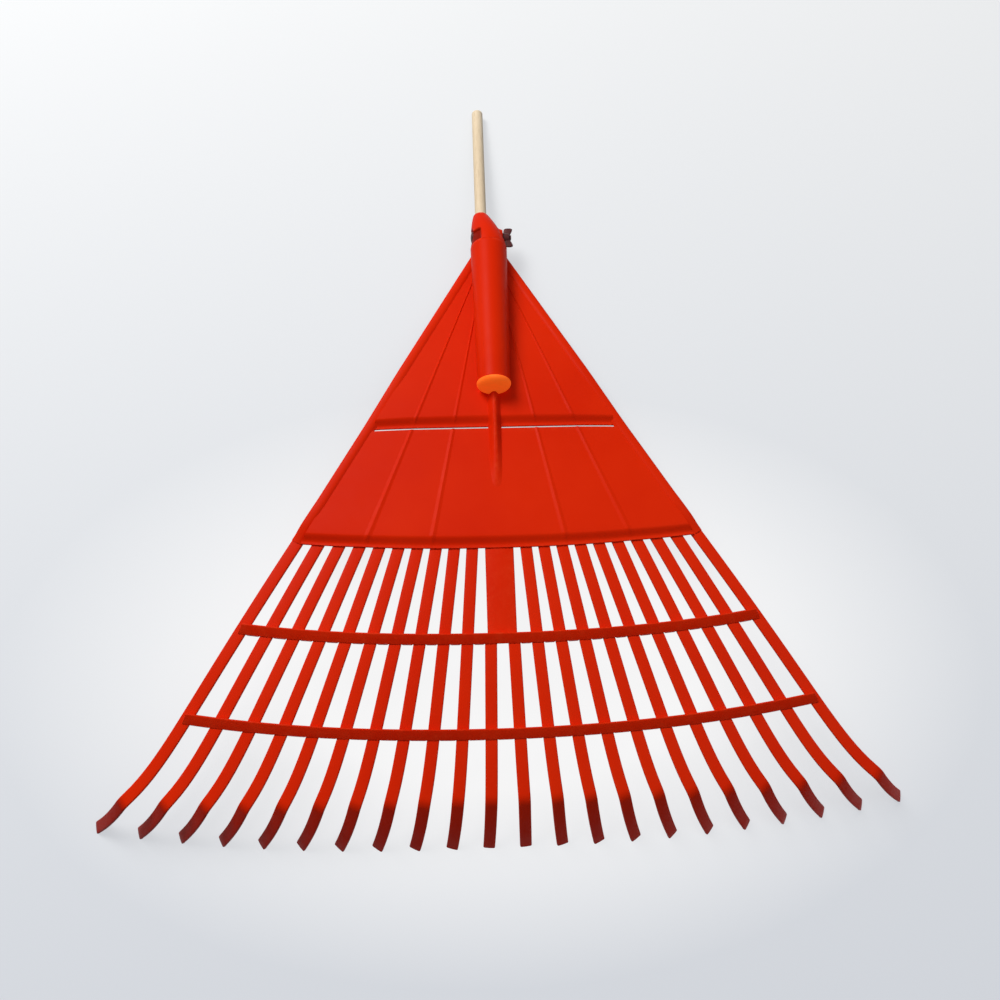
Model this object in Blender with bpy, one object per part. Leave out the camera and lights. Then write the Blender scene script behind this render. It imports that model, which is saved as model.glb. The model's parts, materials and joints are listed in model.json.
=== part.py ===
"""Fan (leaf) rake: a moulded plastic head with 22 hooked tines and a slim wooden handle.

Units are metres and +Z is up. The head is drawn flat, with its apex at the origin, its tines
towards -Y and its handle towards +Y. An empty then tilts the whole rake until the hook tips and
the far end of the handle both touch the ground, Z = 0.
"""

import math

import bmesh
import bpy
from mathutils import Matrix, Vector

# Clearances
GAP = 0.0003
RUNNING_GAP = 0.0004

# Fan: radii are measured from the apex along the centre line, bows are added per radian squared
TINE_COUNT = 22
TINE_PITCH = math.radians(2.82)
PLATE_R = 0.3085
PLATE_BOW = 0.133
CROSS1_R = 0.3850
CROSS1_BOW = 0.156
CROSS2_R = 0.4590
CROSS2_BOW = 0.174
TIP_R = 0.5389
TIP_BOW = 0.267

# Tines: T section, tapering from root to tip, bowed down, flared out and hooked
TINE_ROOT_W = 0.0102
TINE_TIP_W = 0.0098
TINE_TOP_T = 0.0024
TINE_RIB_W = 0.0026
TINE_RIB_H = 0.0034
TINE_EDGE = 0.0008
TINE_TUCK = 0.0090
TINE_FLARE = 0.0312
FLARE_POWER = 6.2
TINE_BOW = 0.0230
HOOK_LENGTH = 0.0360
HOOK_BEND_R = 0.0160
HOOK_BEND = math.radians(48)
HOOK_ANGLE = math.radians(60)
HOOK_LEG = 0.0058

# Plate: an upper and a lower web with a slot between them
WEB_T = 0.0026
WEB_START = 0.0250
SLOT_R = 0.1960
SLOT_W = 0.0020
STEP = 0.0030
RISER_L = 0.0065
RISER_H = 0.0040
LIP_L = 0.0030
LIP_T = 0.0012
CREASE_ANGLES = (math.radians(10.6), math.radians(20.4))
CREASE_HALF = math.radians(0.45)
CREASE_H = 0.0009

# Edge ribs, spine and centre strip
EDGE_W = 0.0100
EDGE_UP = 0.0012
EDGE_DOWN = 0.0050
EDGE_START = 0.0120
EDGE_OUT = 0.0036
EDGE_IN = 0.0016
EDGE_FADE = 0.0300
SPINE_TOP_W = 0.0026
SPINE_BASE_W = 0.0080
SPINE_H = 0.0075
SPINE_END_R = 0.2600
SPINE_TIP_H = 0.0012
SPINE_FOOT_H = 0.0008
STRIP_W = 0.0240

# Crossbars: a narrow top with a slope towards the tips, and dips between the tines
BAR_W = 0.0080
BAR_TOP_W = 0.0016
BAR_H = 0.0048
BAR_NOSE = 0.0006
BAR_END = 0.0008
BAR_DIP = 0.0030
BAR_DIP_SIDE = 0.0004

# Socket tube, its end plug and its collar
TUBE_AXIS_Z = 0.0105
TUBE_CAP_R = 0.0143
TUBE_MOUTH_R = 0.0174
TUBE_WALL = 0.0026
TUBE_START = 0.1595
TUBE_MOUTH = 0.0130
PLUG_FLANGE_T = 0.0070
PLUG_LIP = 0.0010
PLUG_SPIGOT = 0.0160
PLUG_WALL = 0.0022
PLUG_FLOOR = 0.0030
COLLAR_L = 0.0380
COLLAR_BASE_R = 0.0168
COLLAR_CURVE = 1.5
COLLAR_NOSE_WALL = 0.0016
COLLAR_SPIGOT = 0.0140

# Handle: it enters the collar left of the tube's centre
HANDLE_D = 0.0110
HANDLE_X = -0.0065
HANDLE_FOOT_Y = -0.0620
HANDLE_END_Y = 0.1600
HANDLE_CHAMFER = 0.0010

# Cross bolt and wing nut
BOLT_D = 0.0050
BOLT_Y = 0.0
BOLT_HEAD_D = 0.0120
BOLT_HEAD_H = 0.0026
PAD_D = 0.0140
PAD_LEFT = 0.0140
PAD_RIGHT = 0.0138
NUT_HUB_D = 0.0094
NUT_HUB_H = 0.0060
NUT_SPAN = 0.0215
NUT_WING_H = 0.0095
NUT_WING_T = 0.0024
BOLT_TAIL = 0.0020

ROUND = 40

# Derived sizes
HALF_FAN = TINE_PITCH * (TINE_COUNT - 1) / 2
HANDLE_R = HANDLE_D / 2
LOWER_TOP = -STEP
TINE_TOP = LOWER_TOP - RISER_H - LIP_T - GAP
LOWER_START = SLOT_R + SLOT_W


def clear_scene():
    for obj in list(bpy.data.objects):
        bpy.data.objects.remove(obj, do_unlink=True)


def material(name, colour, roughness, metallic=0.0):
    """A Principled material in the colour that the piece has in daylight."""
    mat = bpy.data.materials.new(name)
    mat.use_nodes = True
    shader = mat.node_tree.nodes["Principled BSDF"]
    shader.inputs["Base Color"].default_value = (*colour, 1.0)
    shader.inputs["Roughness"].default_value = roughness
    shader.inputs["Metallic"].default_value = metallic
    return mat


RED = (0.70, 0.035, 0.004)
ORANGE = (0.85, 0.16, 0.02)
WOOD = (0.70, 0.58, 0.38)
STEEL = (0.10, 0.07, 0.07)


def add_object(name, bm, colour, roughness=0.45, metallic=0.0, smooth=False):
    """Turn a bmesh into a named object with its own material, under the rake's empty."""
    bmesh.ops.recalc_face_normals(bm, faces=bm.faces[:])
    mesh = bpy.data.meshes.new(name)
    bm.to_mesh(mesh)
    bm.free()
    obj = bpy.data.objects.new(name, mesh)
    bpy.context.scene.collection.objects.link(obj)
    mesh.materials.append(material(name + "_material", colour, roughness, metallic))
    if smooth:
        mesh.shade_smooth()
        mesh.set_sharp_from_angle(angle=math.radians(35))
    obj.parent = bpy.data.objects["rake_frame"]
    return obj


def loft(rings):
    """A closed body through rings of equal point counts, with a flat cap on each end."""
    bm = bmesh.new()
    rows = [[bm.verts.new(p) for p in ring] for ring in rings]
    count = len(rows[0])
    for row, following in zip(rows, rows[1:]):
        for i in range(count):
            j = (i + 1) % count
            bm.faces.new((row[i], row[j], following[j], following[i]))
    bm.faces.new(list(reversed(rows[0])))
    bm.faces.new(rows[-1])
    return bm


def turned(profile, segments=ROUND):
    """A body turned about the Y axis at the tube's height, from (y, radius) points off the axis."""
    bm = bmesh.new()
    rings = []
    for y, radius in profile:
        ring = []
        for i in range(segments):
            angle = math.tau * i / segments
            ring.append(bm.verts.new((radius * math.cos(angle), y, TUBE_AXIS_Z + radius * math.sin(angle))))
        rings.append(ring)
    for row, following in zip(rings, rings[1:] + rings[:1]):
        for i in range(segments):
            j = (i + 1) % segments
            bm.faces.new((row[i], row[j], following[j], following[i]))
    return bm


def turned_solid(profile, segments=ROUND):
    """The same about the Y axis, but closed by flat caps at its first and last rings."""
    rings = []
    for y, radius in profile:
        ring = []
        for i in range(segments):
            angle = math.tau * i / segments
            ring.append((radius * math.cos(angle), y, TUBE_AXIS_Z + radius * math.sin(angle)))
        rings.append(ring)
    return loft(rings)


def cross_cylinder(x_from, x_to, radius, segments=24):
    """A cylinder along X on the cross bolt's axis."""
    rings = []
    for x in (x_from, x_to):
        ring = []
        for i in range(segments):
            angle = math.tau * i / segments
            ring.append((x, BOLT_Y + radius * math.cos(angle), TUBE_AXIS_Z + radius * math.sin(angle)))
        rings.append(ring)
    return loft(rings)


def cutter(name, bm):
    """A guide body that is only subtracted or added, never built itself."""
    obj = add_object(name, bm, RED)
    obj.hide_render = True
    obj.display_type = "WIRE"
    return obj


def boolean(obj, tool, operation="DIFFERENCE"):
    mod = obj.modifiers.new(operation.lower() + "_" + tool.name, "BOOLEAN")
    mod.operation = operation
    mod.solver = "EXACT"
    mod.object = tool


# Fan surface

def arc(radius, bow, theta):
    """Distance from the apex of a bar that bows less than a circle would."""
    return radius + bow * theta * theta


def plate_edge(theta):
    return arc(PLATE_R, PLATE_BOW, theta)


def tip_line(theta):
    return arc(TIP_R, TIP_BOW, theta)


def tine_angle(index):
    return (index - (TINE_COUNT - 1) / 2) * TINE_PITCH


def along(theta):
    return Vector((math.sin(theta), -math.cos(theta), 0.0))


def across(theta):
    return Vector((math.cos(theta), math.sin(theta), 0.0))


def flare(theta, s):
    """Sideways drift of a tine from its straight ray, and the slope of that drift."""
    start = arc(CROSS1_R, CROSS1_BOW, theta)
    length = tip_line(theta) - start
    part = max(0.0, (s - start) / length)
    size = TINE_FLARE * theta / HALF_FAN
    return size * part ** FLARE_POWER, size * FLARE_POWER * part ** (FLARE_POWER - 1) / length


def bow(theta, s):
    """Height of the tines' top face before the hook, and the angle at which it runs down."""
    start = plate_edge(theta)
    length = tip_line(theta) - start
    part = max(0.0, (s - start) / length)
    return TINE_TOP - TINE_BOW * part ** 2, math.atan(2 * TINE_BOW * part / length)


# Rest position: the plane through the handle's end and the middle tips

def hook_points(theta, count):
    """Points (distance, height, downward angle) along a hook: a tight bend, then a gentler curve."""
    s = tip_line(theta) - HOOK_LENGTH
    z, angle = bow(theta, s)
    bend_reach = HOOK_BEND_R * (math.sin(HOOK_BEND) - math.sin(angle))
    curve_r = (HOOK_LENGTH - bend_reach) / (math.sin(HOOK_ANGLE) - math.sin(HOOK_BEND))
    points = [(s, z, angle)]
    tight = count // 2
    for last, radius, steps in ((HOOK_BEND, HOOK_BEND_R, tight), (HOOK_ANGLE, curve_r, count - 1 - tight)):
        first = angle
        for i in range(1, steps + 1):
            following = first + (last - first) * i / steps
            s += radius * (math.sin(following) - math.sin(angle))
            z -= radius * (math.cos(angle) - math.cos(following))
            angle = following
            points.append((s, z, angle))
    return points


HOOK_END = hook_points(TINE_PITCH / 2, 5)[-1]
TIP_DEPTH = -HOOK_END[1] + HOOK_LEG
REST_TILT = math.atan2(TUBE_AXIS_Z - HANDLE_R + TIP_DEPTH, HANDLE_END_Y - HANDLE_CHAMFER + TIP_R)


def ground_height(y):
    """Height of the ground in the flat head's own frame."""
    return -TIP_DEPTH + math.tan(REST_TILT) * (y + TIP_R)


# Tines

def tine_section(width, rib):
    """T section: a flat top with eased edges, and a stiffening rib below."""
    half = width / 2
    edge = TINE_EDGE
    rib_half = TINE_RIB_W / 2
    return [
        (-half, -edge),
        (-half + edge, 0.0),
        (half - edge, 0.0),
        (half, -edge),
        (half, -TINE_TOP_T),
        (rib_half, -TINE_TOP_T),
        (rib_half, -TINE_TOP_T - rib),
        (-rib_half, -TINE_TOP_T - rib),
        (-rib_half, -TINE_TOP_T),
        (-half, -TINE_TOP_T),
    ]


def tine_ring(theta, s, z, angle, part):
    """The section at distance s, standing square to the tine's run."""
    drift, slope = flare(theta, s)
    centre = along(theta) * s + across(theta) * drift + Vector((0, 0, z))
    run = (along(theta) + across(theta) * slope).normalized()
    side = Vector((-run.y, run.x, 0.0))
    up = run * math.sin(angle) + Vector((0, 0, math.cos(angle)))
    width = TINE_ROOT_W + (TINE_TIP_W - TINE_ROOT_W) * part
    rib = TINE_RIB_H * (1 - 0.55 * part)
    ring = [centre + side * c + up * h for c, h in tine_section(width, rib)]
    down = run * math.cos(angle) - Vector((0, 0, math.sin(angle)))
    return ring, down


def tine_start(index, theta):
    """The two middle tines start under the first crossbar, the others under the plate."""
    if index in middle_tines():
        return arc(CROSS1_R, CROSS1_BOW, theta) + GAP
    return plate_edge(theta) - TINE_TUCK


def middle_tines():
    return (TINE_COUNT // 2 - 1, TINE_COUNT // 2)


def tine(index):
    theta = tine_angle(index)
    start = tine_start(index, theta)
    hook_start = tip_line(theta) - HOOK_LENGTH
    first = plate_edge(theta) - TINE_TUCK
    total = tip_line(theta) - first
    rings = []
    steps = 5 if index in middle_tines() else 7
    for i in range(steps):
        s = start + (hook_start - start) * i / steps
        z, angle = bow(theta, s)
        rings.append(tine_ring(theta, s, z, angle, (s - first) / total)[0])
    for s, z, angle in hook_points(theta, 8):
        ring, down = tine_ring(theta, s, z, angle, (s - first) / total)
        rings.append(ring)
    slope = math.tan(REST_TILT)
    foot = []
    for p in rings[-1]:
        drop = p.z - ground_height(p.y)
        foot.append(p + down * (drop / (slope * down.y - down.z)))
    rings.append(foot)
    return add_object(f"tine_{index + 1:02d}", loft(rings), RED, 0.42)


# Plate

def edge_drift(s):
    """Distance of an edge rib outside the outer ray: positive near the apex, negative at the corner."""
    return EDGE_OUT - (EDGE_OUT + EDGE_IN) * s / plate_edge(HALF_FAN)


def web_columns():
    """Rays of the web: (angle, side if along an edge rib, extra height), with a ridge at each crease."""
    columns = [(HALF_FAN, 1, 0.0)]
    for angle in sorted(CREASE_ANGLES, reverse=True):
        columns += [(angle + CREASE_HALF, 0, 0.0), (angle, 0, CREASE_H), (angle - CREASE_HALF, 0, 0.0)]
    mirrored = [(-angle, -side, lift) for angle, side, lift in columns]
    return mirrored + [(0.0, 0, 0.0)] + list(reversed(columns))


def web(name, top, start, end):
    """A thin plate carried across the fan, which steps down to a flat lip along its lower edge."""
    rings = []
    inset = EDGE_W / 2 + GAP
    for theta, side, lift in web_columns():
        s0 = start(theta)
        s1 = end(theta)
        section = [
            (s0, top + lift),
            (s1 - LIP_L - RISER_L, top + lift),
            (s1 - LIP_L, top - RISER_H),
            (s1, top - RISER_H),
            (s1, top - RISER_H - LIP_T),
            (s1 - LIP_L - LIP_T, top - RISER_H - LIP_T),
            (s1 - LIP_L - RISER_L - WEB_T / 2, top - WEB_T),
            (s0, top - WEB_T),
        ]
        ring = []
        for s, z in section:
            shift = side * (edge_drift(s) - inset)
            ring.append(along(theta) * s + across(theta) * shift + Vector((0, 0, z)))
        rings.append(ring)
    return add_object(name, loft(rings), RED, 0.42)


def upper_web():
    obj = web("web_upper", 0.0, lambda t: WEB_START / math.cos(t), lambda t: SLOT_R / math.cos(t))
    boolean(obj, bpy.data.objects["tube_clearance"])
    return obj


def lower_web():
    return web("web_lower", LOWER_TOP, lambda t: LOWER_START / math.cos(t), plate_edge)


def edge_rib(side, name):
    """The flat rim along one outer edge of the plate, which sinks gently on to the outer tine's root."""
    theta = side * HALF_FAN
    half = EDGE_W / 2
    edge = TINE_EDGE
    end = plate_edge(theta)
    seat = TINE_TOP + GAP
    stations = [
        (EDGE_START, EDGE_UP, -EDGE_DOWN),
        (SLOT_R - EDGE_FADE, EDGE_UP, -EDGE_DOWN),
        (SLOT_R + EDGE_FADE, EDGE_UP + LOWER_TOP, -EDGE_DOWN),
        (end - EDGE_FADE, EDGE_UP + LOWER_TOP, seat),
        (end - EDGE_FADE / 2, LOWER_TOP - EDGE_UP / 2, seat),
        (end, seat + LIP_T, seat),
    ]
    rings = []
    for s, top, low in stations:
        ring = []
        section = [(-half, low), (half, low), (half, top - edge), (half - edge, top), (-half + edge, top),
                   (-half, top - edge)]
        for c, z in section:
            shift = c + side * edge_drift(s)
            ring.append(along(theta) * s + across(theta) * shift + Vector((0, 0, z)))
        rings.append(ring)
    obj = add_object(name, loft(rings), RED, 0.42)
    boolean(obj, bpy.data.objects["tube_clearance"])
    return obj


def spine_gusset():
    """The roof-shaped rib from the tube's end down the plate: it steps over the slot and fades out."""
    face = TUBE_START + PLUG_FLANGE_T + GAP
    upper = SLOT_R - LIP_L - RISER_L
    foot = [
        (face, GAP),
        (upper + GAP, GAP),
        (SLOT_R - LIP_L + GAP, -RISER_H + GAP),
        (SLOT_R + GAP, -RISER_H + GAP),
        (SLOT_R + GAP, LOWER_TOP + GAP),
        (SPINE_END_R, LOWER_TOP + GAP),
    ]
    fall = (SPINE_H - LOWER_TOP - GAP - SPINE_TIP_H) / (SPINE_END_R - face)
    crest = []
    skirt = []
    for s, ground in ((SPINE_END_R, LOWER_TOP), (SLOT_R + 2 * GAP, LOWER_TOP), (upper, 0.0), (face, 0.0)):
        crest.append((s, SPINE_H - fall * (s - face)))
        skirt.append((s, ground + GAP + SPINE_FOOT_H))
    rings = []
    for x, top in ((-SPINE_BASE_W / 2, skirt), (-SPINE_TOP_W / 2, crest), (SPINE_TOP_W / 2, crest),
                   (SPINE_BASE_W / 2, skirt)):
        rings.append([(x, -s, z) for s, z in foot + top])
    return add_object("spine_gusset", loft(rings), RED, 0.42)


def centre_strip():
    """The wide strip that joins the two middle tines between the plate and the first crossbar."""
    start = PLATE_R - TINE_TUCK
    end = CROSS1_R - GAP
    half = STRIP_W / 2
    edge = TINE_EDGE
    rings = []
    for i in range(5):
        s = start + (end - start) * i / 4
        z, angle = bow(0.0, s)
        ring = []
        for c, h in ((-half, -edge), (-half + edge, 0), (half - edge, 0), (half, -edge),
                     (half, -TINE_TOP_T - TINE_RIB_H), (half - TINE_RIB_W, -TINE_TOP_T - TINE_RIB_H),
                     (half - TINE_RIB_W, -TINE_TOP_T), (-half + TINE_RIB_W, -TINE_TOP_T),
                     (-half + TINE_RIB_W, -TINE_TOP_T - TINE_RIB_H), (-half, -TINE_TOP_T - TINE_RIB_H)):
            ring.append((c, -s, z + h))
        rings.append(ring)
    return add_object("centre_strip", loft(rings), RED, 0.42)


# Crossbars

def bar_station(index, radius, bow_out):
    """Where a crossbar meets a tine: the tine's angle, the point, the bar's run and the tine's run."""
    centres = []
    for k in (index - 1, index, index + 1):
        t = tine_angle(k)
        s = arc(radius, bow_out, t)
        centres.append(along(t) * s + across(t) * flare(t, s)[0])
    theta = tine_angle(index)
    slope = flare(theta, arc(radius, bow_out, theta))[1]
    tangent = (centres[2] - centres[0]).normalized()
    run = (along(theta) + across(theta) * slope).normalized()
    return theta, centres[1], tangent, run


def bar_skew(tangent, run):
    """Cosine of the angle between a tine and the square to the bar."""
    return run.x * tangent.y - run.y * tangent.x


def bar_ring(station, side, dip):
    """A bar's section cut parallel to the tine, at a distance from it along the bar."""
    theta, centre, tangent, run = station
    base = centre + tangent * side
    skew = bar_skew(tangent, run)
    ring = []
    for f, h in ((-BAR_W / 2, -dip), (-BAR_W / 2, BAR_H), (-BAR_W / 2 + BAR_TOP_W, BAR_H), (BAR_W / 2, BAR_NOSE),
                 (BAR_W / 2, -dip)):
        point = base + run * (f / skew)
        reach = point.dot(along(theta))
        ring.append(point + Vector((0, 0, bow(theta, reach)[0] + GAP + h)))
    return ring


def crossbar(name, radius, bow_out, over_strip):
    """A bar that rests on every tine and dips between them, except over the centre strip."""
    rings = []
    left, right = middle_tines()
    for index in range(TINE_COUNT):
        station = bar_station(index, radius, bow_out)
        half = TINE_ROOT_W / 2 / bar_skew(station[2], station[3]) + GAP
        low = [(-half - BAR_DIP_SIDE, BAR_DIP), (-half, 0.0)]
        high = [(half, 0.0), (half + BAR_DIP_SIDE, BAR_DIP)]
        if index == 0:
            low = [(-BAR_END, 0.0)]
        if index == TINE_COUNT - 1:
            high = [(BAR_END, 0.0)]
        if over_strip and index == right:
            low = [(-half, 0.0)]
        if over_strip and index == left:
            high = [(half, 0.0)]
        for side, dip in low + high:
            rings.append(bar_ring(station, side, dip))
    return add_object(name, loft(rings), RED, 0.42)


# Socket

def tube_radius(y):
    """Outer radius of the tube, which widens from its plug to its mouth."""
    part = (y + TUBE_START) / (TUBE_START - TUBE_MOUTH)
    return TUBE_CAP_R + (TUBE_MOUTH_R - TUBE_CAP_R) * part


def tube_clearance():
    """The room that the plate leaves round the tube, its plug and its collar."""
    y0 = -TUBE_START - PLUG_FLANGE_T
    profile = [
        (y0 - GAP, TUBE_CAP_R + PLUG_LIP + GAP),
        (-TUBE_START + GAP, TUBE_CAP_R + PLUG_LIP + GAP),
        (-TUBE_START + 2 * GAP, tube_radius(-TUBE_START) + GAP),
        (-TUBE_MOUTH, TUBE_MOUTH_R + GAP),
        (COLLAR_L, TUBE_MOUTH_R + GAP),
    ]
    return cutter("tube_clearance", turned_solid(profile))


def socket_tube():
    start = -TUBE_START
    bore = TUBE_CAP_R - TUBE_WALL
    profile = [
        (start, TUBE_CAP_R),
        (-TUBE_MOUTH, TUBE_MOUTH_R),
        (-TUBE_MOUTH, TUBE_MOUTH_R - TUBE_WALL),
        (start, bore),
    ]
    return add_object("socket_tube", turned(profile), RED, 0.38, smooth=True)


def end_plug():
    """The bright cup-shaped plug in the tube's lower end."""
    face = -TUBE_START - PLUG_FLANGE_T
    rim = TUBE_CAP_R + PLUG_LIP
    spigot = TUBE_CAP_R - TUBE_WALL - GAP
    hole = spigot - PLUG_WALL
    inner = -TUBE_START + PLUG_SPIGOT
    profile = [
        (face, rim * 0.34),
        (face + 0.0007, rim * 0.62),
        (face + 0.0020, rim * 0.83),
        (face + 0.0038, rim * 0.96),
        (face + 0.0052, rim),
        (-TUBE_START - GAP, rim),
        (-TUBE_START - GAP, spigot),
        (inner, spigot),
        (inner, hole),
        (face + PLUG_FLOOR, hole),
    ]
    return add_object("end_plug", turned_solid(profile), ORANGE, 0.35, smooth=True)


def collar_ring(y):
    """Centre and outer radius of the collar: a lopsided cone that narrows towards the handle."""
    nose = HANDLE_R + GAP + COLLAR_NOSE_WALL
    part = (y + TUBE_MOUTH) / COLLAR_L
    left = -COLLAR_BASE_R + (COLLAR_BASE_R + HANDLE_X - nose) * part ** (2 * COLLAR_CURVE)
    right = COLLAR_BASE_R + (HANDLE_X + nose - COLLAR_BASE_R) * part ** COLLAR_CURVE
    return (left + right) / 2, (right - left) / 2


def handle_cylinder(y_from, y_to, radius, chamfer=0.0):
    """A cylinder on the handle's axis, with its ends chamfered where a chamfer is given."""
    rings = []
    for y, r in ((y_from, radius - chamfer), (y_from + chamfer, radius), (y_to - chamfer, radius),
                 (y_to, radius - chamfer)):
        ring = []
        for i in range(ROUND):
            angle = math.tau * i / ROUND
            ring.append((HANDLE_X + r * math.cos(angle), y, TUBE_AXIS_Z + r * math.sin(angle)))
        rings.append(ring)
    return loft(rings if chamfer else [rings[0], rings[-1]])


def collar():
    """The adaptor between tube and handle: spigot, lopsided cone, two bolt pads."""
    spigot = TUBE_MOUTH_R - TUBE_WALL - GAP
    shrink = (TUBE_MOUTH_R - TUBE_CAP_R) * COLLAR_SPIGOT / (TUBE_START - TUBE_MOUTH)
    base = -TUBE_MOUTH + GAP
    nose = -TUBE_MOUTH + COLLAR_L
    stations = [(-TUBE_MOUTH - COLLAR_SPIGOT, 0.0, spigot - shrink), (base, 0.0, spigot)]
    steps = 8
    for i in range(steps + 1):
        y = base + (nose - base) * i / steps
        stations.append((y, *collar_ring(y)))
    rings = []
    for y, x, radius in stations:
        ring = []
        for i in range(ROUND):
            angle = math.tau * i / ROUND
            ring.append((x + radius * math.cos(angle), y, TUBE_AXIS_Z + radius * math.sin(angle)))
        rings.append(ring)
    obj = add_object("collar", loft(rings), RED, 0.38, smooth=True)
    for name, near, far in (("pad_left", HANDLE_X, -PAD_LEFT), ("pad_right", HANDLE_X, PAD_RIGHT)):
        boolean(obj, cutter(name, cross_cylinder(*sorted((near, far)), PAD_D / 2)), "UNION")
    for name, x_from, x_to in (("seat_left", -0.04, -PAD_LEFT), ("seat_right", PAD_RIGHT, 0.04)):
        boolean(obj, cutter(name, cross_cylinder(x_from, x_to, PAD_D / 2 + GAP)))
    reach = TUBE_MOUTH + COLLAR_SPIGOT + COLLAR_L
    boolean(obj, cutter("handle_bore", handle_cylinder(-reach, reach, HANDLE_R + GAP)))
    boolean(obj, bpy.data.objects["bolt_hole"])
    return obj


def handle():
    bm = handle_cylinder(HANDLE_FOOT_Y, HANDLE_END_Y, HANDLE_R, HANDLE_CHAMFER)
    obj = add_object("handle", bm, WOOD, 0.65, smooth=True)
    boolean(obj, bpy.data.objects["bolt_hole"])
    return obj


# Cross bolt and wing nut

def bolt_hole():
    return cutter("bolt_hole", cross_cylinder(-0.04, 0.04, BOLT_D / 2 + GAP))


def cross_bolt():
    """The bolt that pins the handle in the collar: a domed head on the left, a plain end on the right."""
    head = PAD_LEFT + GAP
    end = PAD_RIGHT + GAP + NUT_HUB_H + BOLT_TAIL
    profile = [
        (-head - BOLT_HEAD_H, BOLT_HEAD_D * 0.26),
        (-head - BOLT_HEAD_H * 0.75, BOLT_HEAD_D * 0.42),
        (-head - BOLT_HEAD_H * 0.30, BOLT_HEAD_D * 0.50),
        (-head, BOLT_HEAD_D * 0.50),
        (-head, BOLT_D / 2),
        (end - 0.0006, BOLT_D / 2),
        (end, BOLT_D / 2 - 0.0006),
    ]
    rings = []
    for x, radius in profile:
        ring = []
        for i in range(24):
            angle = math.tau * i / 24
            ring.append((x, BOLT_Y + radius * math.cos(angle), TUBE_AXIS_Z + radius * math.sin(angle)))
        rings.append(ring)
    return add_object("cross_bolt", loft(rings), STEEL, 0.4, 1.0, smooth=True)


def wing_nut():
    """A hub that turns on the bolt, with two wings that widen away from the collar.

    Its origin lies on the bolt's axis.
    """
    x0 = PAD_RIGHT + GAP
    x1 = x0 + NUT_HUB_H
    hub = NUT_HUB_D / 2
    bm = cross_cylinder(x0, x1, hub)
    for v in bm.verts:
        if v.co.x > x0 + GAP:
            v.co.y = BOLT_Y + (v.co.y - BOLT_Y) * 0.86
            v.co.z = TUBE_AXIS_Z + (v.co.z - TUBE_AXIS_Z) * 0.86
    centre = Vector((x0, BOLT_Y, TUBE_AXIS_Z))
    bmesh.ops.translate(bm, verts=bm.verts[:], vec=-centre)
    obj = add_object("wing_nut", bm, STEEL, 0.4, 1.0)
    obj.location = centre
    for side, name in ((-1, "wing_back"), (1, "wing_front")):
        outline = [
            (x0 + 0.0012, hub * 0.55),
            (x0 + 0.0012, hub * 0.95),
            (x0 + 0.0040, NUT_SPAN * 0.40),
            (x0 + 0.0068, NUT_SPAN * 0.49),
            (x0 + NUT_WING_H, NUT_SPAN * 0.47),
            (x0 + NUT_WING_H, NUT_SPAN * 0.36),
            (x1, hub * 0.80),
            (x1 - 0.0004, hub * 0.55),
        ]
        rings = []
        for z in (-NUT_WING_T / 2, NUT_WING_T / 2):
            rings.append([(x, BOLT_Y + side * reach, TUBE_AXIS_Z + z) for x, reach in outline])
        boolean(obj, cutter(name, loft(rings)), "UNION")
    boolean(obj, cutter("nut_bore", cross_cylinder(x0 - 0.002, x1 + 0.002, BOLT_D / 2 + RUNNING_GAP)))
    return obj


# Whole rake

def settle(frame):
    """Tilt the rake on to the ground and centre it over the origin."""
    turn = Matrix.Rotation(-REST_TILT, 4, "X")
    frame.matrix_world = turn
    bpy.context.view_layer.update()
    corners = []
    for obj in bpy.data.objects:
        if obj.type == "MESH" and not obj.hide_render:
            corners += [turn @ obj.matrix_basis @ v.co for v in obj.data.vertices]
    low = Vector([min(c[i] for c in corners) for i in range(3)])
    high = Vector([max(c[i] for c in corners) for i in range(3)])
    middle = (low + high) / 2
    frame.matrix_world = Matrix.Translation((0.0, -middle.y, -low.z)) @ turn
    bpy.context.view_layer.update()


def build():
    clear_scene()
    frame = bpy.data.objects.new("rake_frame", None)
    bpy.context.scene.collection.objects.link(frame)
    tube_clearance()
    bolt_hole()
    socket_tube()
    end_plug()
    collar()
    handle()
    cross_bolt()
    wing_nut()
    upper_web()
    lower_web()
    edge_rib(-1, "edge_rib_left")
    edge_rib(1, "edge_rib_right")
    spine_gusset()
    centre_strip()
    crossbar("crossbar_1", CROSS1_R, CROSS1_BOW, True)
    crossbar("crossbar_2", CROSS2_R, CROSS2_BOW, False)
    for index in range(TINE_COUNT):
        tine(index)
    settle(frame)


build()
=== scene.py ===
"""Leaf rake: an orange-red moulded fan of hooked tines on a socket tube, with a slim wooden handle.

The head is drawn flat, apex at the origin, tines towards -Y, and then laid on the ground.
"""

import json
import math

import bmesh
import bpy
import numpy as np
from mathutils import Matrix


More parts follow.
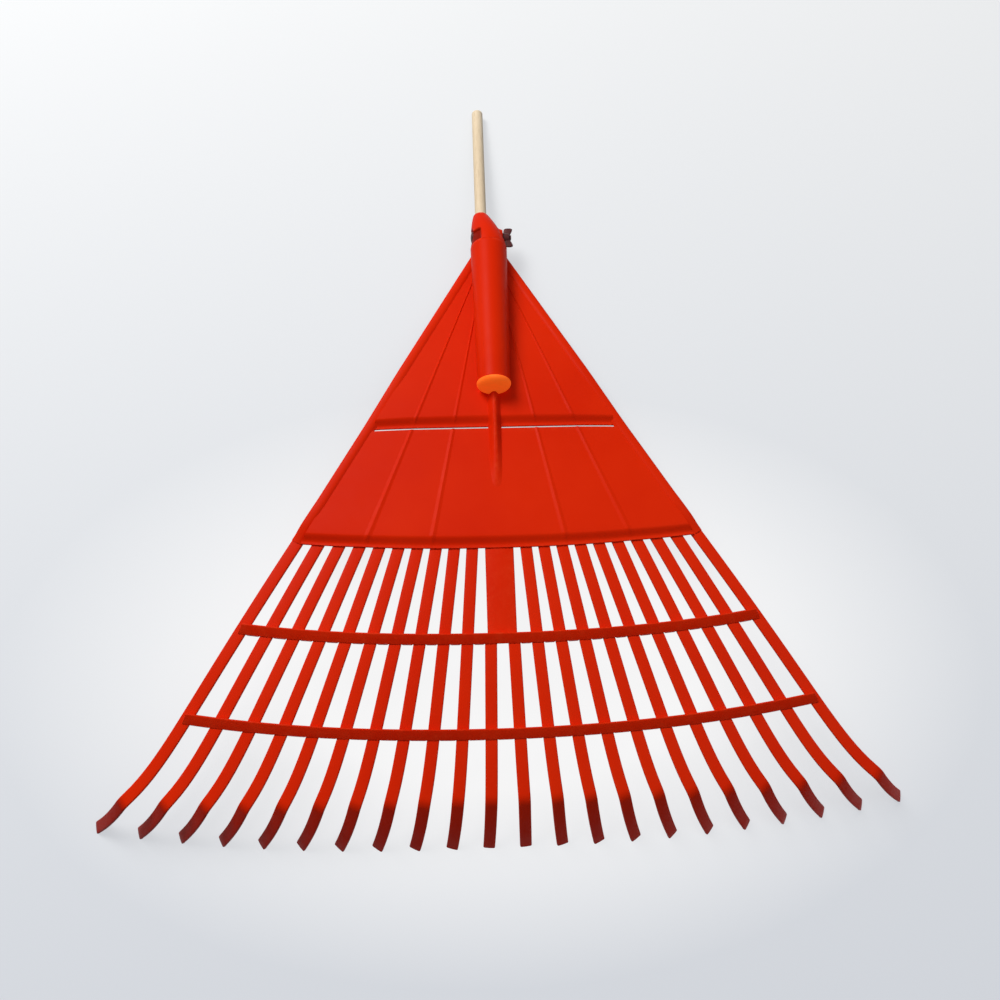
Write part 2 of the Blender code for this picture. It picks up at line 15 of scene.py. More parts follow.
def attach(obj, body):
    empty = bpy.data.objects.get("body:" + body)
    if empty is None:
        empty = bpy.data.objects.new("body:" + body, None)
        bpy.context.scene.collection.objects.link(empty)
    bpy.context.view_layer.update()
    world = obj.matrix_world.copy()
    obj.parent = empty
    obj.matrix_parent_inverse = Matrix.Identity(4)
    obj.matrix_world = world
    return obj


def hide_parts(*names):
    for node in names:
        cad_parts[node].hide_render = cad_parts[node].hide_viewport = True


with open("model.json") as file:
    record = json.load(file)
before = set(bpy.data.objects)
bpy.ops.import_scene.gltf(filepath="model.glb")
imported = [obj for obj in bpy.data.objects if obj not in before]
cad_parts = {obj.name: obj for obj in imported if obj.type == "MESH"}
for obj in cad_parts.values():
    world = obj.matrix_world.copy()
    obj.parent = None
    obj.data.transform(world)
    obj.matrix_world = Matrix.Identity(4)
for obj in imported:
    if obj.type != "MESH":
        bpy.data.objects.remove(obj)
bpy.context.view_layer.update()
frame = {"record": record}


# Tines
# Twenty-two strips of the one plastic moulding, T-shaped in section, that fan out from the plate.
# They bow down a little, spread sideways near their ends and hook down to flat-cut feet.

TINE_COUNT = 22
TINE_PITCH = math.radians(2.82)
HALF_FAN = TINE_PITCH * (TINE_COUNT - 1) / 2
# Lines across the fan: the radius on the middle ray, and its growth with the angle squared
PLATE_EDGE, CROSS_1, TIP_LINE = (0.3085, 0.133), (0.3850, 0.156), (0.5389, 0.267)
TINE_TOP = -0.0085
TINE_ROOT_W, TINE_TIP_W = 0.0102, 0.0098
FLANGE_T, FLANGE_ROUND, FLANGE_FOOT_ROUND, FLANGE_CROWN = 0.0024, 0.0009, 0.0004, 0.0002
RIB_H, RIB_TAPER, RIB_HALF_W, RIB_ROUND, RIB_FOOT_ROUND = 0.0034, 0.55, 0.0013, 0.0006, 0.0007
TINE_INSET = 0.0001
TINE_TUCK, MIDDLE_TUCK = 0.0090, 0.0010
TINE_FLARE, FLARE_POWER = 0.0312, 6.2
TINE_BOW = 0.0230
HOOK_LENGTH = 0.0360
HOOK_BEND_R, HOOK_BEND = 0.0160, math.radians(48)
HOOK_ANGLE = math.radians(60)
# Painted shade that darkens the hooks as they turn down: the downward angle it starts at and grows over,
# its strength, and its extra strength on the left tines
PAINTED_SHADE_FROM, PAINTED_SHADE_OVER = math.radians(18), math.radians(26)
HOOK_PAINTED_SHADE, LEFT_HOOK_PAINTED_SHADE = 0.33, 0.40
SMOOTH_UP_TO = math.radians(40)
TUBE_AXIS_Z = 0.0105
HANDLE_END_Y = 0.1600

handle_end = next(m for m in frame["record"]["mounts"] if m["name"] == "handle_end")
TILT = math.atan2(-handle_end["axis"][2], handle_end["axis"][1])


def laid(points):
    """Points of the flat head, turned down by the tilt about X and set where the handle's end lies."""
    c, s = math.cos(TILT), math.sin(TILT)
    dy = handle_end["pos_m"][1] - (HANDLE_END_Y * c + TUBE_AXIS_Z * s)
    dz = handle_end["pos_m"][2] - (-HANDLE_END_Y * s + TUBE_AXIS_Z * c)
    x, y, z = np.moveaxis(np.asarray(points, float), -1, 0)
    return np.stack([x, y * c + z * s + dy, -y * s + z * c + dz], axis=-1)


def ray(theta):
    """Unit vectors along and across the ray that leaves the apex at angle theta from -Y."""
    theta = np.asarray(theta, float)
    flat = np.zeros_like(theta)
    return (np.stack([np.sin(theta), -np.cos(theta), flat], axis=-1),
            np.stack([np.cos(theta), np.sin(theta), flat], axis=-1))


def arc(line, theta):
    """Distance from the apex to a line across the fan: its middle radius plus bow times theta squared."""
    radius, bend = line
    return radius + bend * np.asarray(theta) ** 2


def flare(theta, s):
    """Sideways drift of a tine and its slope: a power of the way from the first crossbar to the tip."""
    start = arc(CROSS_1, theta)
    length = arc(TIP_LINE, theta) - start
    part = np.clip((s - start) / length, 0, None)
    size = TINE_FLARE * theta / HALF_FAN
    return size * part ** FLARE_POWER, size * FLARE_POWER * part ** (FLARE_POWER - 1) / length


def bow(theta, s):
    """Height of the tines' top, a parabola from the plate's edge on, and its downward angle."""
    start = arc(PLATE_EDGE, theta)
    length = arc(TIP_LINE, theta) - start
    part = np.clip((s - start) / length, 0, None)
    return TINE_TOP - TINE_BOW * part ** 2, np.arctan(2 * TINE_BOW * part / length)


def corner(centre, radius, start, end, count):
    """Points of a rounded corner: an arc about its centre between two angles in degrees."""
    angle = np.radians(np.linspace(start, end, count))
    return np.stack([centre[0] + radius * np.cos(angle), centre[1] + radius * np.sin(angle)], axis=-1)


def flange_edge(w, height):
    """The outer edge of a flange of half width w: rounded above, and slightly rounded at its foot."""
    return np.concatenate([
        corner((w - FLANGE_ROUND, -FLANGE_ROUND), FLANGE_ROUND, 90, 0, 6),
        corner((w - FLANGE_FOOT_ROUND, -height + FLANGE_FOOT_ROUND), FLANGE_FOOT_ROUND, 0, -90, 3),
    ])


def tine_section(width, rib):
    """T section as (across, up) points: a flange with a parabolic crown on a narrow, rounded rib."""
    w, foot = width / 2 - TINE_INSET, RIB_FOOT_ROUND + TINE_INSET
    right = np.concatenate([
        [[0.0, 0.0], [w * 0.5, 0.0]],
        flange_edge(w, FLANGE_T),
        corner((RIB_HALF_W + RIB_ROUND, -FLANGE_T - RIB_ROUND), RIB_ROUND, 90, 180, 3),
        corner((RIB_HALF_W - foot, -FLANGE_T - rib + foot), RIB_FOOT_ROUND, 0, -90, 4),
        [[0.0, -FLANGE_T - rib]],
    ])
    right[:8, 1] -= FLANGE_CROWN * (right[:8, 0] / w) ** 2
    left = right[-2:0:-1] * [-1, 1]
    return np.concatenate([right, left])


def shell(name, rings, edge=None, dark_tone_and_painted_shade=None, closed=False):
    """A skin over rings of points, capped at both ends, or with its last ring joined to its first.

    The edge values and the painted shade are kept per point: where the surface is rubbed, and where shade
    is painted on it.
    """
    n, m = rings.shape[:2]
    index = np.arange(n * m).reshape(n, m)
    a = index if closed else index[:-1]
    b = np.roll(index, -1, axis=0) if closed else index[1:]
    quads = np.stack([a, np.roll(a, -1, axis=1), np.roll(b, -1, axis=1), b], axis=-1).reshape(-1, 4)
    faces = quads.tolist()
    if not closed:
        faces += [index[0, ::-1].tolist(), index[-1].tolist()]
    mesh = bpy.data.meshes.new(name)
    mesh.from_pydata(rings.reshape(-1, 3).tolist(), [], faces)
    for kind, values in (("edge", edge), ("dark_tone_and_painted_shade", dark_tone_and_painted_shade)):
        values = np.broadcast_to(0.0 if values is None else values, (n, m)).astype(np.float32)
        mesh.attributes.new(kind, "FLOAT", "POINT").data.foreach_set("value", values.ravel())
    bm = bmesh.new()
    bm.from_mesh(mesh)
    bmesh.ops.recalc_face_normals(bm, faces=bm.faces[:])
    bm.to_mesh(mesh)
    bm.free()
    mesh.shade_smooth()
    mesh.set_sharp_from_angle(angle=SMOOTH_UP_TO)
    obj = bpy.data.objects.new(name, mesh)
    bpy.context.scene.collection.objects.link(obj)
    return obj


def corners_of(section, sharp=25):
    """1 at the convex, turning points of a section and 0 on its flats, for the edge wear."""
    before = section - np.roll(section, 1, axis=0)
    after = np.roll(section, -1, axis=0) - section
    cross = before[:, 0] * after[:, 1] - before[:, 1] * after[:, 0]
    turn = np.degrees(np.arctan2(-cross, (before * after).sum(axis=1)))
    return np.clip(turn / sharp, 0, 1)


class Nodes:
    """A material's node tree, with short calls to add a node and to wire it."""

    def __init__(self, name):
        self.material = bpy.data.materials.new(name)
        self.material.use_nodes = True
        self.tree = self.material.node_tree
        self.shader = self.tree.nodes["Principled BSDF"]
        self.place = self.add("ShaderNodeTexCoord").outputs["Object"]

    def add(self, kind, values=None, **settings):
        """Adds a node with its settings. Each input gets a value, or a link when given a socket."""
        node = self.tree.nodes.new(kind)
        for key, value in settings.items():
            setattr(node, key, value)
        for key, value in (values or {}).items():
            if isinstance(value, bpy.types.NodeSocket):
                self.tree.links.new(value, node.inputs[key])
            else:
                node.inputs[key].default_value = value
        return node

    def set(self, name, value):
        """Sets an input of the surface shader, or links a socket to it."""
        if isinstance(value, bpy.types.NodeSocket):
            self.tree.links.new(value, self.shader.inputs[name])
        else:
            self.shader.inputs[name].default_value = value

    def noise(self, scale, detail, rough=0.55, stretch=None):
        """Noise from 0 to 1 by the piece's own coordinates, drawn out along an axis by stretch."""
        where = self.place
        if stretch:
            where = self.add("ShaderNodeMapping", {"Vector": where, "Scale": stretch}).outputs[0]
        return self.add("ShaderNodeTexNoise", {"Vector": where, "Scale": scale, "Detail": detail,
                                               "Roughness": rough}).outputs["Fac"]

    def span(self, value, low, high, to_low, to_high):
        """Maps low..high to to_low..to_high and stops there."""
        return self.add("ShaderNodeMapRange", {"Value": value, "From Min": low, "From Max": high,
                                               "To Min": to_low, "To Max": to_high}).outputs[0]

    def mix(self, factor, a, b):
        """The colour a where the factor is 0, b where it is 1, and in between by its share."""
        node = self.add("ShaderNodeMix", data_type="RGBA")
        for key, kind, value in (("Factor", "VALUE", factor), ("A", "RGBA", a), ("B", "RGBA", b)):
            socket = next(s for s in node.inputs if s.name == key and s.type == kind)
            if isinstance(value, bpy.types.NodeSocket):
                self.tree.links.new(value, socket)
            else:
                socket.default_value = value
        return next(s for s in node.outputs if s.type == "RGBA")

    def times(self, a, b):
        """The product of two numbers."""
        return self.add("ShaderNodeMath", {0: a, 1: b}, operation="MULTIPLY").outputs[0]

    def larger(self, a, b):
        """The larger of two numbers."""
        return self.add("ShaderNodeMath", {0: a, 1: b}, operation="MAXIMUM").outputs[0]

    def bump(self, height, strength, distance):
        """Lets a height tilt the surface's normal."""
        self.set("Normal", self.add("ShaderNodeBump", {"Height": height, "Strength": strength,
                                                       "Distance": distance}).outputs[0])


def moulded_plastic(name, colour, dark_tone_and_painted_shade, worn, roughness):
    """Satin moulded plastic: cloudy colour, fine spark-eroded grain, rubbed edges, and painted shade where
    a point asks for it.
    """
    n = Nodes(name)
    clouds = n.span(n.noise(9.0, 3.0), 0.35, 0.65, 0.0, 1.0)
    base = n.mix(clouds, (*dark_tone_and_painted_shade, 1), (*colour, 1))
    edge = n.add("ShaderNodeAttribute", attribute_name="edge").outputs["Fac"]
    rub = n.times(edge, n.span(n.noise(160.0, 5.0, 0.7), 0.45, 0.70, 0.0, 0.55))
    base = n.mix(rub, base, (*worn, 1))
    shade = n.add("ShaderNodeAttribute", attribute_name="dark_tone_and_painted_shade").outputs["Fac"]
    # Painted shade: a quarter as bright as the darker tone, mixed in by each point's value
    painted_shade_colour = [c * 0.25 for c in dark_tone_and_painted_shade]
    n.set("Base Color", n.mix(shade, base, (*painted_shade_colour, 1)))
    n.set("Roughness", n.span(n.noise(70.0, 6.0, 0.65), 0.3, 0.7, roughness - 0.06, roughness + 0.08))
    n.bump(n.noise(2600.0, 3.0, 0.6), 0.12, 0.00012)
    n.set("IOR", 1.49)
    n.set("Specular IOR Level", 0.04)
    return n.material


head_red = moulded_plastic("head_red", colour=(0.715, 0.021, 0.0008), dark_tone_and_painted_shade=(0.665, 0.016, 0.0005),
                           worn=(0.78, 0.065, 0.016), roughness=0.42)


def finished(obj, body, material, slot, *nodes):
    """Gives a new piece its material and its body, and hides the solids that it stands for. The slot is not
    used.
    """
    obj.data.materials.append(material)
    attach(obj, body)
    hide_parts(*nodes)


def moulded(node, rings, worn, dark_tone_and_painted_shade=None, closed=False):
    """A piece of the head: a skin over its rings, in the head's plastic, on the rake's body."""
    finished(shell(node + "_moulded", rings, worn, dark_tone_and_painted_shade, closed), "rake", head_red, "head_red", node)


def hook(theta, tight=14, gentle=12):
    """Distance, height and downward angle along a hook: a tight bend, then a much gentler curve.

    Both are circular arcs in the tine's upright plane, and the second ends at the tip line.
    """
    s0 = arc(TIP_LINE, theta) - HOOK_LENGTH
    z0, a0 = bow(theta, s0)
    reach = HOOK_BEND_R * (math.sin(HOOK_BEND) - math.sin(a0))
    wide_r = (HOOK_LENGTH - reach) / (math.sin(HOOK_ANGLE) - math.sin(HOOK_BEND))
    a1, a2 = np.linspace(a0, HOOK_BEND, tight), np.linspace(HOOK_BEND, HOOK_ANGLE, gentle)[1:]
    s1 = s0 + HOOK_BEND_R * (np.sin(a1) - math.sin(a0))
    z1 = z0 - HOOK_BEND_R * (math.cos(a0) - np.cos(a1))
    s2 = s1[-1] + wide_r * (np.sin(a2) - math.sin(HOOK_BEND))
    z2 = z1[-1] - wide_r * (math.cos(HOOK_BEND) - np.cos(a2))
    return np.concatenate([s1, s2]), np.concatenate([z1, z2]), np.concatenate([a1, a2])


def tine_rings(theta, start, straight=34):
    """Rings of the T section, square to a path that follows the bow and the hook.

    The last ring is carried on along the hook to the ground. The corners are rubbed, more towards the
    foot, and the foot itself all over. Painted shade darkens the hook. It grows with the hook's downward
    angle and is stronger on the left tines, where the key lamp would make the hooks too light.
    """
    tip = arc(TIP_LINE, theta)
    s = np.linspace(start, tip - HOOK_LENGTH, straight, endpoint=False)
    z, angle = bow(theta, s)
    s, z, angle = (np.concatenate(pair) for pair in zip((s, z, angle), hook(theta)))
    along, across = ray(theta)
    drift, slope = flare(theta, s)
    centre = along * s[:, None] + across * drift[:, None] + [0, 0, 1] * z[:, None]
    run = along + across * slope[:, None]
    run /= np.linalg.norm(run, axis=1, keepdims=True)
    side = np.stack([-run[:, 1], run[:, 0], 0 * s], axis=-1)
    up = run * np.sin(angle)[:, None] + [0, 0, 1] * np.cos(angle)[:, None]

    root = arc(PLATE_EDGE, theta) - TINE_TUCK
    part = (s - root) / (tip - root)
    width = TINE_ROOT_W + (TINE_TIP_W - TINE_ROOT_W) * part
    rib = RIB_H * (1 - RIB_TAPER * part)
    sections = np.stack([tine_section(w, r) for w, r in zip(width, rib)])
    rings = laid(centre[:, None] + side[:, None] * sections[..., :1] + up[:, None] * sections[..., 1:])

    down = run[-1] * math.cos(HOOK_ANGLE) - np.array([0, 0, math.sin(HOOK_ANGLE)])
    down = laid(down) - laid(np.zeros(3))
    foot = rings[-1] - down * (rings[-1][:, 2:] / down[2])
    rings = np.concatenate([rings, (rings[-1:] + foot[None]) / 2, foot[None]])

    worn = corners_of(tine_section(TINE_ROOT_W, RIB_H))[None] * np.linspace(0.5, 1.0, len(rings))[:, None]
    worn = np.maximum(worn, np.linspace(-3, 0.4, len(rings))[:, None])
    angle = np.concatenate([angle, angle[-1:], angle[-1:]])
    # Painted shade on the hook, stronger on the left tines, which the key lamp lights more
    painted_shade_strength = HOOK_PAINTED_SHADE + LEFT_HOOK_PAINTED_SHADE * max(0.0, -theta / HALF_FAN)
    return rings, worn, painted_shade_strength * np.clip((angle - PAINTED_SHADE_FROM) / PAINTED_SHADE_OVER, 0, 1)[:, None]


for k in range(TINE_COUNT):
    theta = (k - (TINE_COUNT - 1) / 2) * TINE_PITCH
    middle = k in (TINE_COUNT // 2 - 1, TINE_COUNT // 2)
    start = arc(CROSS_1, theta) - MIDDLE_TUCK if middle else arc(PLATE_EDGE, theta) - TINE_TUCK
    moulded(f"tine_{k + 1:02d}", *tine_rings(theta, start))


# Crossbars
# Two curved bars of the same moulding that tie the tines together. Each has a narrow top and a
# slope towards the tips. It lies on the tines and dips a little between them.

CROSS_2 = (0.4590, 0.174)
BAR_W, BAR_TOP_W, BAR_H, BAR_NOSE, BAR_ROUND = 0.0080, 0.0016, 0.0048, 0.0006, 0.0006
BAR_END, BAR_SHRINK, BAR_DIP, BAR_DIP_SLOPE, BAR_SEAT = 0.0008, 0.0010, 0.0030, 0.0012, 0.0003


def crossbar_rings(bar, bridged, steps=40):
    """The bar's section, cut parallel to the tines and carried along its arc at the bow's height.

    Its underside eases down by the dip's depth from each tine's edge on, and stays up over the wide
    strip where it is bridged. Over the last millimetre both ends shrink by a quarter of a circle, to
    65% of the section.
    """
    end = HALF_FAN + BAR_END / arc(bar, HALF_FAN)
    theta = np.linspace(-end, end, TINE_COUNT * steps)
    reach = arc(bar, theta)
    along, across = ray(theta)
    drift, slope = flare(theta, reach)
    centre = along * reach[:, None] + across * drift[:, None]
    tangent = np.gradient(centre, theta, axis=0)
    speed = np.linalg.norm(tangent, axis=1, keepdims=True)
    tangent /= speed
    run = along + across * slope[:, None]
    run /= np.linalg.norm(run, axis=1, keepdims=True)
    skew = run[:, 0] * tangent[:, 1] - run[:, 1] * tangent[:, 0]
    off = np.abs((theta / TINE_PITCH + 1.0) % 1.0 - 0.5) * TINE_PITCH * speed[:, 0]
    dip = np.clip((off - TINE_ROOT_W / 2 / skew) / BAR_DIP_SLOPE, 0, 1)
    dip = BAR_DIP * dip * dip * (3 - 2 * dip)
    if bridged:
        dip[np.abs(theta) < TINE_PITCH / 2] = 0
    b = BAR_W / 2
    section = np.concatenate([
        [[-b, 0.0]],
        corner((-b + BAR_ROUND, BAR_H - BAR_ROUND), BAR_ROUND, 180, 90, 4),
        corner((-b + BAR_TOP_W - BAR_ROUND, BAR_H - BAR_ROUND), BAR_ROUND, 90, 55, 3),
        corner((b - BAR_ROUND, BAR_NOSE - BAR_ROUND), BAR_ROUND, 60, 0, 3),
        [[b, 0.0]],
    ])
    shut = 1 - np.clip((end - np.abs(theta)) * reach / BAR_SHRINK, 0, 1)
    keep = 0.65 + 0.35 * np.sqrt(1 - shut ** 2)
    points = centre[:, None] + run[:, None] * section[None, :, :1] * (keep / skew)[:, None, None]
    out = (points * along[:, None]).sum(axis=-1)
    up = section[None, :, 1] * keep[:, None] - np.where(section[None, :, 1] == 0, dip[:, None], 0)
    points[..., 2] = bow(theta[:, None], out)[0] + BAR_SEAT + up
    return laid(points), corners_of(section)


for number, bar in ((1, CROSS_1), (2, CROSS_2)):
    moulded(f"crossbar_{number}", *crossbar_rings(bar, bridged=number == 1))


# Plate
# The thin triangular plate is one moulding with the tines. A slot divides it into an upper and a
# lower web, ridges stiffen it along four rays, and each web steps down to a flat lip.

WEB_T, STEP = 0.0026, 0.0030
WEB_START, SLOT_R, SLOT_W = 0.0250, 0.1960, 0.0020
RISER_L, RISER_H, RISER_EASE, LIP_L, LIP_T = 0.0065, 0.0040, 0.0008, 0.0030, 0.0012
CREASES = np.radians([-20.4, -10.6, 10.6, 20.4])
CREASE_HALF, CREASE_H = math.radians(0.55), 0.0008
EDGE_W, EDGE_OUT, EDGE_IN, WEB_UNDER_EDGE = 0.0100, 0.0036, 0.0016, 0.0030
WEB_NOSE, LIP_ROUND = 0.0003, 0.0004


def edge_drift(s):
    """Distance of the rim outside the outer ray: it falls in a line, from outside it to inside it."""
    return EDGE_OUT - (EDGE_OUT + EDGE_IN) * s / arc(PLATE_EDGE, HALF_FAN)


def web_rings(start, end, top, count=721):
    """The web's section, its step drawn as an S curve, carried across the fan's rays.

    A ridge's height falls in a line to both sides of its ray, and to nothing down the step. Beyond
    the last ridge the rays close in evenly on the rim, and run a little way under it.
    """
    theta = np.linspace(-HALF_FAN, HALF_FAN, count)
    lift = np.zeros(count)
    for at in CREASES:
        lift = np.maximum(lift, CREASE_H * np.clip(1 - np.abs(theta - at) / CREASE_HALF, 0, 1))
    outer = np.sign(theta) * np.clip((np.abs(theta) - CREASES[-1]) / (HALF_FAN - CREASES[-1]), 0, 1)
    s0, s1 = start(theta), end(theta)
    foot = s1 - LIP_L + RISER_EASE
    head = foot - RISER_L - 2 * RISER_EASE
    t = np.linspace(0, 1, 16)
    drop = RISER_H * t * t * (3 - 2 * t)
    rows = [(s0 + (head - s0) * f, top + lift) for f in np.linspace(0, 1, 24)]
    rows += [(head + (foot - head) * f, top + lift * (1 - f) - d) for f, d in zip(t[1:], drop[1:])]
    lip = len(rows)
    rows += [(s1 - WEB_NOSE, top - RISER_H), (s1, top - RISER_H - LIP_ROUND), (s1, top - RISER_H - LIP_T)]
    rows += [(foot - LIP_T + (head - foot) * (1 - f), top - LIP_T - (WEB_T - LIP_T) * (1 - f) - d)
             for f, d in zip(t[::-1], drop[::-1])]
    rows += [(s0, top - WEB_T), (s0 - WEB_NOSE, top - WEB_T / 2)]
    along, across = ray(theta)
    columns = []
    for s, z in rows:
        shift = outer * (edge_drift(s) - EDGE_W / 2 + WEB_UNDER_EDGE)
        columns.append(along * s[:, None] + across * shift[:, None] + [0, 0, 1] * (z + 0 * s)[:, None])
    edge = np.zeros(len(rows))
    edge[[0, lip, -1]] = 0.6
    return laid(np.stack(columns, axis=1)), edge


moulded("web_upper", *web_rings(lambda t: WEB_START / np.cos(t), lambda t: SLOT_R / np.cos(t), 0.0))
moulded("web_lower", *web_rings(lambda t: (SLOT_R + SLOT_W) / np.cos(t),
                                lambda t: arc(PLATE_EDGE, t), -STEP))


# Rims, spine and centre strip
# Soft raised rims along the plate's two outer edges, the roof-shaped rib that runs down from the
# end of the tube, and the wide strip between the two middle tines. All are part of the moulding.

EDGE_UP, EDGE_DOWN, EDGE_START, EDGE_FADE, EDGE_AVERAGE = 0.0012, 0.0050, 0.0120, 0.0300, 0.0040


def rim_rings(side):
    """A rim's section, soft on its inner side and rounded on its outer one, along a straight line.

    The heights of its top and foot follow straight lines between stations, eased by a short average.
    Near its end it eases out by a cubic step, to run on over the outer tine.
    """
    theta = side * HALF_FAN
    end = arc(PLATE_EDGE, theta)
    at = [EDGE_START, SLOT_R - EDGE_FADE, SLOT_R + EDGE_FADE, end - EDGE_FADE, end - EDGE_FADE / 2, end]
    tops = [EDGE_UP, EDGE_UP, EDGE_UP - STEP, EDGE_UP - STEP, -STEP - EDGE_UP / 2, TINE_TOP + 0.0005]
    feet = [-EDGE_DOWN, -EDGE_DOWN, -EDGE_DOWN, TINE_TOP, TINE_TOP, TINE_TOP]
    s = np.linspace(EDGE_START, end, 150)
    soft = np.linspace(-EDGE_AVERAGE, EDGE_AVERAGE, 9)
    top = np.interp(s[:, None] + soft, at, tops).mean(axis=1)
    foot = np.interp(s, at, feet)
    w = EDGE_W / 2
    # From the inner side to the outer one: places across the rim, and the fall below its top in mm
    across_at = np.array([-1.0, -0.8, -0.6, -0.4, -0.2, 0.2, 0.55, 0.74, 0.88, 0.97, 1.0]) * w
    fall = np.array([2.1, 1.45, 0.75, 0.28, 0.06, 0.0, 0.08, 0.30, 0.75, 1.5, 2.4]) * 0.001
    along, across = ray(theta)
    close = np.clip((s - end + EDGE_FADE * 1.4) / (EDGE_FADE * 1.2), 0, 1)
    drift = side * edge_drift(s) * (1 - close * close * (3 - 2 * close))
    base = along * s[:, None] + across * drift[:, None]
    crown = base[:, None] + side * across * across_at[None, :, None]
    crown = crown + [0, 0, 1] * np.maximum(top[:, None] - fall, foot[:, None] + 0.0002)[..., None]
    low = [base + across * side * c + [0, 0, 1] * foot[:, None] for c in (w, -w)]
    edge = np.array([0] * 7 + [0.2, 0.6, 0.6, 0.2, 0, 0])
    return laid(np.concatenate([crown, np.stack(low, axis=1)], axis=1)), edge


moulded("edge_rib_left", *rim_rings(-1))
moulded("edge_rib_right", *rim_rings(1))

SPINE_TOP_W, SPINE_BASE_W, SPINE_H, SPINE_TIP_H, SPINE_END_R = 0.0026, 0.0120, 0.0075, -0.0006, 0.2600
SPINE_SUNK = 0.0005
TUBE_START, PLUG_FLANGE_T = 0.1595, 0.0070


def spine_rings():
    """Upright sections along -Y: a roof with a rounded crest that sinks in a line to the web."""
    face = TUBE_START + PLUG_FLANGE_T
    s = np.linspace(face, SPINE_END_R, 70)
    crest = SPINE_H + (SPINE_TIP_H - STEP - SPINE_H) * (s - face) / (SPINE_END_R - face)
    upper = SLOT_R - LIP_L - RISER_L
    ground = np.interp(s, [upper, SLOT_R - LIP_L, SLOT_R + SLOT_W, SLOT_R + SLOT_W + 0.0002],
                       [0.0, -RISER_H, -RISER_H, -STEP]) - SPINE_SUNK
    base, top = SPINE_BASE_W / 2, SPINE_TOP_W / 2
    flank = base - top
    # From the foot to the crest: half widths, and shares of the height
    wide = np.array([base, base * 0.94, top + flank * 0.5, top + flank * 0.12, top * 0.75, top * 0.3])
    up = np.array([0.0, 0.06, 0.50, 0.89, 0.985, 1.0])
    tall = np.maximum(crest - ground, 0.0002)
    right = np.stack([wide + 0 * s[:, None], 0 * wide - s[:, None],
                      ground[:, None] + tall[:, None] * up], axis=-1)
    edge = np.array([0, 0, 0, 0.3, 0.8, 1, 1, 0.8, 0.3, 0, 0, 0])
    return laid(np.concatenate([right, right[:, ::-1] * [-1, 1, 1]], axis=1)), edge


moulded("spine_gusset", *spine_rings())

STRIP_W, STRIP_H, STRIP_WALL, STRIP_CROWN = 0.0240, 0.0058, 0.0026, 0.0004


def strip_rings():
    """A shallow channel section, upside down, carried along the middle ray on the tines' bow."""
    s = np.linspace(arc(PLATE_EDGE, 0.0) - TINE_TUCK, arc(CROSS_1, 0.0), 40)
    z = bow(0.0, s)[0]
    w = STRIP_W / 2
    right = np.concatenate([
        [[0.0, 0.0]],
        flange_edge(w, STRIP_H),
        [[w - STRIP_WALL, -STRIP_H], [w - STRIP_WALL, -FLANGE_T], [0.0, -FLANGE_T]],
    ])
    right[:7, 1] += STRIP_CROWN * (1 - (right[:7, 0] / w) ** 2)
    section = np.concatenate([right, right[-2:0:-1] * [-1, 1]])
    rings = np.stack([section[:, 0] + 0 * s[:, None], 0 * section[:, 0] - s[:, None],
                      section[:, 1] + z[:, None]], axis=-1)
    return laid(rings), corners_of(section)


moulded("centre_strip", *strip_rings())


# Socket tube
# A tapered tube moulded on to the plate and sunk into it, so that its belly shows underneath. It
# holds the collar at its mouth and an end plug at the foot.

TUBE_CAP_R, TUBE_MOUTH_R, TUBE_MOUTH, TUBE_WALL = 0.0143, 0.0174, 0.0130, 0.0026
AROUND = 96


def turned(profile, segments=AROUND, x=0.0):
    """Rings from a (y, radius) profile turned about an axis along Y at the tube's height.

    A profile that ends on the axis stops just short of it, and a small flat cap closes it.
    """
    angle = np.linspace(0, 2 * math.pi, segments, endpoint=False)
    y, r = np.asarray(profile, float).T
    rings = np.stack([x + r[:, None] * np.cos(angle), y[:, None] + 0 * angle,
                      TUBE_AXIS_Z + r[:, None] * np.sin(angle)], axis=-1)
    return laid(rings)


end = -TUBE_START
tube_profile = [
    (end, TUBE_CAP_R - 0.0005), (end + 0.0005, TUBE_CAP_R),
    *[(end + (TUBE_START - TUBE_MOUTH) * f, TUBE_CAP_R + (TUBE_MOUTH_R - TUBE_CAP_R) * f)
      for f in np.linspace(0.02, 0.98, 20)],
    (-TUBE_MOUTH - 0.0008, TUBE_MOUTH_R), (-TUBE_MOUTH - 0.0002, TUBE_MOUTH_R - 0.0003),
    (-TUBE_MOUTH, TUBE_MOUTH_R - 0.0008), (-TUBE_MOUTH, TUBE_MOUTH_R - TUBE_WALL),
    (end, TUBE_CAP_R - TUBE_WALL),
]
tube_edge = np.zeros((len(tube_profile), 1))
foot_rim, mouth_rim = [0, 1], [-5, -4, -3]
tube_edge[foot_rim + mouth_rim] = 0.8
moulded("socket_tube", turned(tube_profile), tube_edge, closed=True)


# End plug
# A push-in cup of bright orange plastic that closes the tube's lower end. Its colour is lighter than
# the head's, and a painted glow makes it brighter still.
# Its spigot fits inside the tube, and its domed flange covers the tube's rim.

PLUG_RIM, PLUG_SPIGOT_L, PLUG_HOLLOW = 0.0010, 0.0160, 0.0025
PLUG_DOME = ((0.0, 0.20), (0.0001, 0.34), (0.0003, 0.50), (0.0008, 0.63), (0.0014, 0.75),
             (0.0022, 0.84), (0.0030, 0.91), (0.0040, 0.965), (0.0052, 1.0))
FIT_GAP = 0.0003

plug_orange = moulded_plastic("plug_orange", colour=(0.96, 0.155, 0.016), dark_tone_and_painted_shade=(0.92, 0.130, 0.011),
                              worn=(0.98, 0.28, 0.08), roughness=0.36)
# Painted glow: an emission that lights the plug, though it is no lamp
painted_glow = plug_orange.node_tree.nodes["Principled BSDF"].inputs
painted_glow["Emission Color"].default_value = (1.0, 0.150, 0.014, 1)
painted_glow["Emission Strength"].default_value = 0.37

